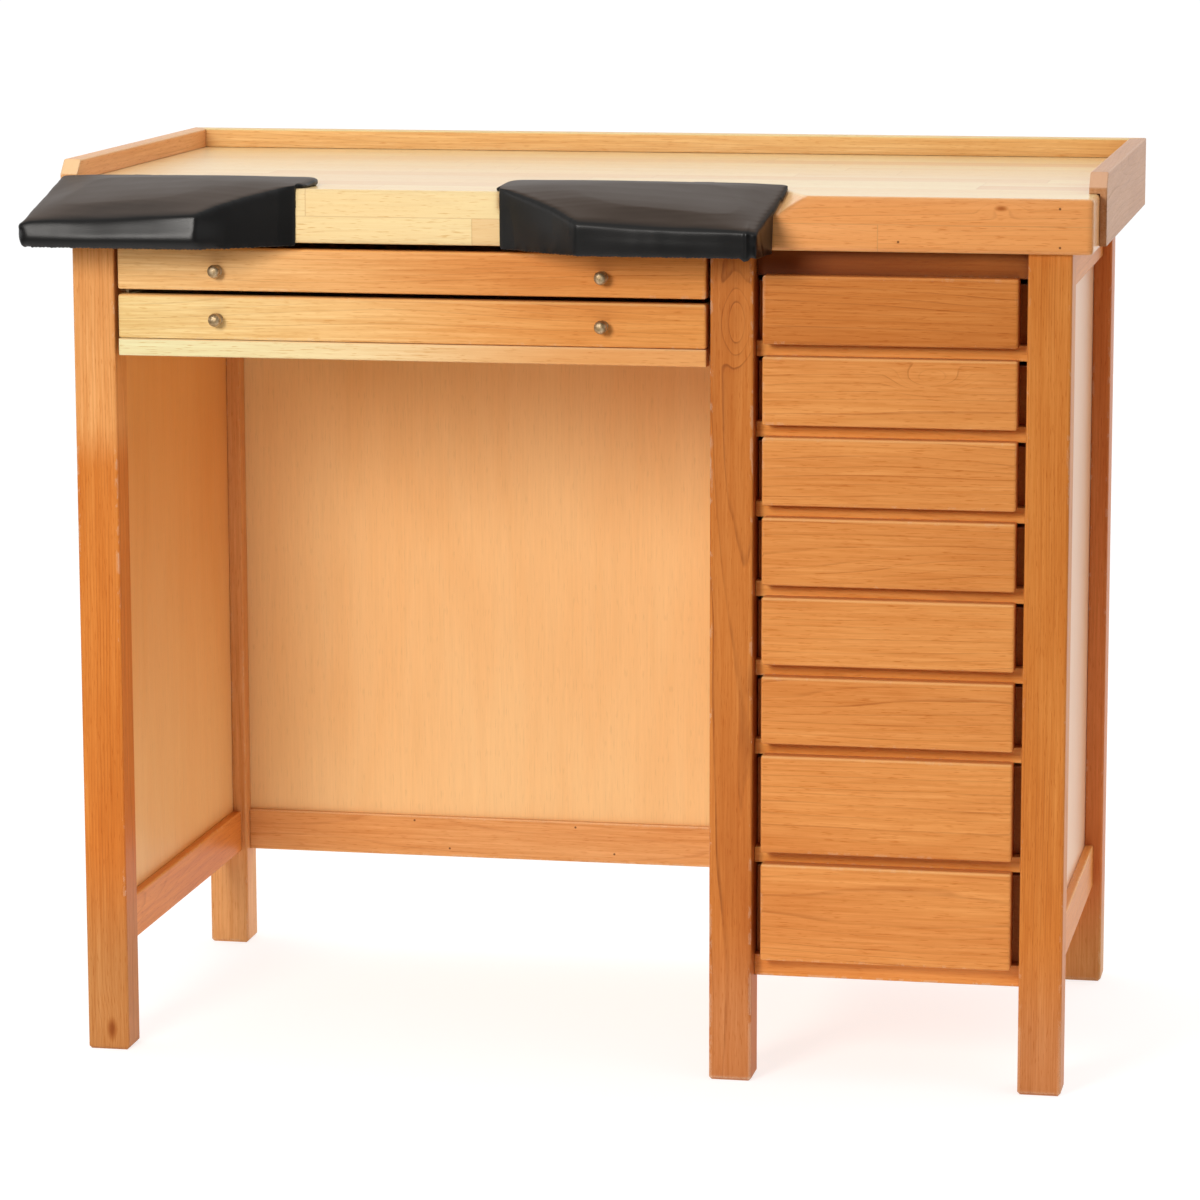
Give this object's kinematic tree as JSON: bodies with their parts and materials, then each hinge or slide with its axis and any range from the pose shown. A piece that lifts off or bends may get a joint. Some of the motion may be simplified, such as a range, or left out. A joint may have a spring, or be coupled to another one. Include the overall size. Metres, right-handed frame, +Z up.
{
  "type": "watchmaker's bench",
  "caption": "High wooden watchmaker's bench with a galleried worktop, padded sloping armrests, shallow apron drawers over the kneehole and a pedestal of drawers.",
  "frame": {"origin": "centre of the overall box on the floor", "axes": "+X along the length to the right as the worker sits, +Y to the back, +Z up"},
  "size_m": [1.1064, 0.657, 0.9539],
  "materials": {
    "alder": "satin lacquer",
    "drawer_alder": "satin lacquer",
    "maple_top": "satin lacquer",
    "birch_ply": "satin lacquer",
    "pale_wood": "sealed",
    "leatherette": "soft semi-matt",
    "bronze": "aged bronze"
  },
  "bodies": {
    "frame": {"left_front_leg": "alder", "left_rear_leg": "alder", "middle_front_leg": "alder", "middle_rear_leg": "alder", "right_front_leg": "alder", "right_rear_leg": "alder", "left_bottom_rail": "alder", "left_top_rail": "alder", "right_bottom_rail": "alder", "right_top_rail": "alder", "back_bottom_rail": "alder", "back_top_rail": "alder", "pedestal_top_rail": "alder", "pedestal_bottom_board": "alder", "left_armrest_block": "alder", "right_armrest_block": "alder", "drawer_divider_1": "alder", "drawer_divider_2": "alder", "drawer_divider_3": "alder", "drawer_divider_4": "alder", "drawer_divider_5": "alder", "drawer_divider_6": "alder", "drawer_divider_7": "alder", "left_panel": "birch_ply", "right_panel": "birch_ply", "kneehole_back_panel": "birch_ply", "pedestal_back_panel": "birch_ply", "pedestal_inner_panel": "birch_ply", "worktop": "maple_top", "gallery_back_rail": "maple_top", "gallery_left_rail": "maple_top", "gallery_right_rail": "maple_top", "left_apron_runner": "pale_wood", "right_apron_runner": "pale_wood", "left_armrest_pad": "leatherette", "right_armrest_pad": "leatherette"},
    "drawer_1": {"drawer_1_front": "drawer_alder", "drawer_1_tray": "pale_wood"},
    "drawer_2": {"drawer_2_front": "drawer_alder", "drawer_2_tray": "pale_wood"},
    "drawer_3": {"drawer_3_front": "drawer_alder", "drawer_3_tray": "pale_wood"},
    "drawer_4": {"drawer_4_front": "drawer_alder", "drawer_4_tray": "pale_wood"},
    "drawer_5": {"drawer_5_front": "drawer_alder", "drawer_5_tray": "pale_wood"},
    "drawer_6": {"drawer_6_front": "drawer_alder", "drawer_6_tray": "pale_wood"},
    "drawer_7": {"drawer_7_front": "drawer_alder", "drawer_7_tray": "pale_wood"},
    "drawer_8": {"drawer_8_front": "drawer_alder", "drawer_8_tray": "pale_wood"},
    "upper_apron": {"upper_apron_front": "drawer_alder", "upper_apron_tray": "pale_wood", "upper_left_knob": "bronze", "upper_right_knob": "bronze"},
    "lower_apron": {"lower_apron_front": "drawer_alder", "lower_apron_tray": "pale_wood", "lower_left_knob": "bronze", "lower_right_knob": "bronze"}
  },
  "joints": [
    {"name": "drawer_1_slide", "type": "slide", "parent": "frame", "child": "drawer_1", "axis": [0, -1, 0], "range_m": [0, 0.34]},
    {"name": "drawer_2_slide", "type": "slide", "parent": "frame", "child": "drawer_2", "axis": [0, -1, 0], "range_m": [0, 0.34]},
    {"name": "drawer_3_slide", "type": "slide", "parent": "frame", "child": "drawer_3", "axis": [0, -1, 0], "range_m": [0, 0.34]},
    {"name": "drawer_4_slide", "type": "slide", "parent": "frame", "child": "drawer_4", "axis": [0, -1, 0], "range_m": [0, 0.34]},
    {"name": "drawer_5_slide", "type": "slide", "parent": "frame", "child": "drawer_5", "axis": [0, -1, 0], "range_m": [0, 0.34]},
    {"name": "drawer_6_slide", "type": "slide", "parent": "frame", "child": "drawer_6", "axis": [0, -1, 0], "range_m": [0, 0.34]},
    {"name": "drawer_7_slide", "type": "slide", "parent": "frame", "child": "drawer_7", "axis": [0, -1, 0], "range_m": [0, 0.34]},
    {"name": "drawer_8_slide", "type": "slide", "parent": "frame", "child": "drawer_8", "axis": [0, -1, 0], "range_m": [0, 0.34]},
    {"name": "upper_apron_slide", "type": "slide", "parent": "frame", "child": "upper_apron", "axis": [0, -1, 0], "range_m": [0, 0.3]},
    {"name": "lower_apron_slide", "type": "slide", "parent": "frame", "child": "lower_apron", "axis": [0, -1, 0], "range_m": [0, 0.3]}
  ]
}
